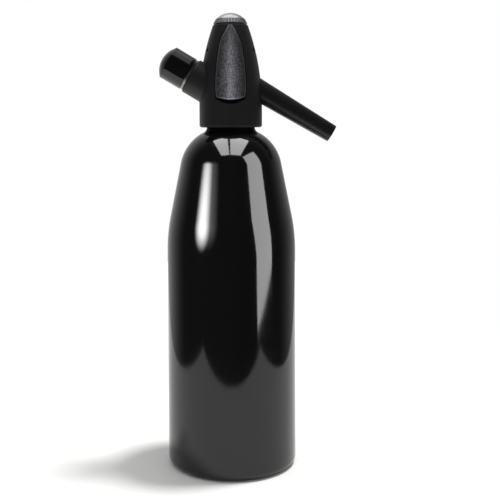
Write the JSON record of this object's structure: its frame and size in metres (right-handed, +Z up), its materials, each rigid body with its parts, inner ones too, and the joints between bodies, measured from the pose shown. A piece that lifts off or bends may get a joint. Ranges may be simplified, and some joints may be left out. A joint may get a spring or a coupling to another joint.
{
  "type": "soda siphon",
  "caption": "Soda siphon: slim black pressure bottle with an ogive head, leaf lever, slanted spout, capped gas inlet and knurled crown nut.",
  "frame": {"origin": "middle of the ring that the bottle stands on", "axes": "+Z up along the bottle, +X towards the side that the spout leans to, -Y towards the user, who presses the lever"},
  "size_m": [0.1217, 0.088, 0.3096],
  "materials": {
    "lacquered_aluminium": "gloss black lacquer",
    "head_plastic": "matte, finely grained",
    "spout_plastic": "satin",
    "gloss_plastic": "gloss",
    "lever_metal": "pebbled, dark silver",
    "lever_carrier": "matte",
    "core_plastic": "moulded and turned black acetal",
    "chrome": "polished silver",
    "brass": "turned",
    "plated_brass": "nickel plated",
    "sintered_bronze": "porous",
    "steel": "bright",
    "tube_plastic": "translucent",
    "rubber": "matte"
  },
  "bodies": {
    "bottle": {"bottle_shell": "lacquered_aluminium"},
    "neck_ring": {"neck_gasket": "rubber"},
    "head": {"head_housing": "head_plastic", "valve_block": "core_plastic", "riser_tube": "tube_plastic", "riser_seal": "rubber", "stem_seal": "rubber", "valve_gland": "brass", "valve_plug": "brass", "valve_spring": "steel", "spout": "spout_plastic", "spout_seal": "rubber", "inlet_fitting": "plated_brass", "check_sleeve": "rubber", "inlet_filter": "sintered_bronze", "piercing_pin": "steel", "inlet_seal": "rubber", "lever_pin": "steel"},
    "lever": {"lever_face": "lever_metal", "lever_arm": "lever_carrier"},
    "plunger": {"valve_plunger": "steel", "plunger_seal": "rubber"},
    "crown_ring": {"crown_washer": "steel"},
    "crown": {"crown_nut": "chrome"},
    "cap_ring": {"cap_seal": "rubber"},
    "cap": {"inlet_cap": "gloss_plastic"}
  },
  "joints": [
    {"name": "head_lift", "type": "slide", "parent": "bottle", "child": "neck_ring", "axis": [0, 0, 1], "range_m": [0, 0.008]},
    {"name": "head_unscrew", "type": "hinge", "parent": "neck_ring", "child": "head", "pos_m": [0, 0, 0.24397], "axis": [0, 0, 1], "range_deg": [0, 720]},
    {"name": "lever_swing", "type": "hinge", "parent": "head", "child": "lever", "pos_m": [0, -0.0061, 0.28367], "axis": [1, 0, 0], "range_deg": [0, 5], "stiffness_Nm_per_rad": 1.2, "springref_deg": -2.86},
    {"name": "plunger_travel", "type": "slide", "parent": "head", "child": "plunger", "axis": [0, 1, 0], "range_m": [0, 0.00182], "deforming": ["valve_spring"]},
    {"name": "crown_lift", "type": "slide", "parent": "head", "child": "crown_ring", "axis": [0, 0, 1], "range_m": [0, 0.002]},
    {"name": "crown_unscrew", "type": "hinge", "parent": "crown_ring", "child": "crown", "pos_m": [0, 0, 0.30137], "axis": [0, 0, 1], "range_deg": [0, 720]},
    {"name": "cap_lift", "type": "slide", "parent": "head", "child": "cap_ring", "axis": [-0.8572, 0, 0.515], "range_m": [0, 0.003]},
    {"name": "cap_unscrew", "type": "hinge", "parent": "cap_ring", "child": "cap", "pos_m": [-0.03429, 0, 0.27097], "axis": [-0.8572, 0, 0.515], "range_deg": [0, 720]}
  ],
  "couplings": [
    {"joint": "head_unscrew", "follows": "head_lift", "rad_per_m": 1570.8},
    {"joint": "plunger_travel", "follows": "lever_swing", "m_per_rad": 0.0207},
    {"joint": "crown_unscrew", "follows": "crown_lift", "rad_per_m": 6283.2},
    {"joint": "cap_unscrew", "follows": "cap_lift", "rad_per_m": 4188.8}
  ]
}
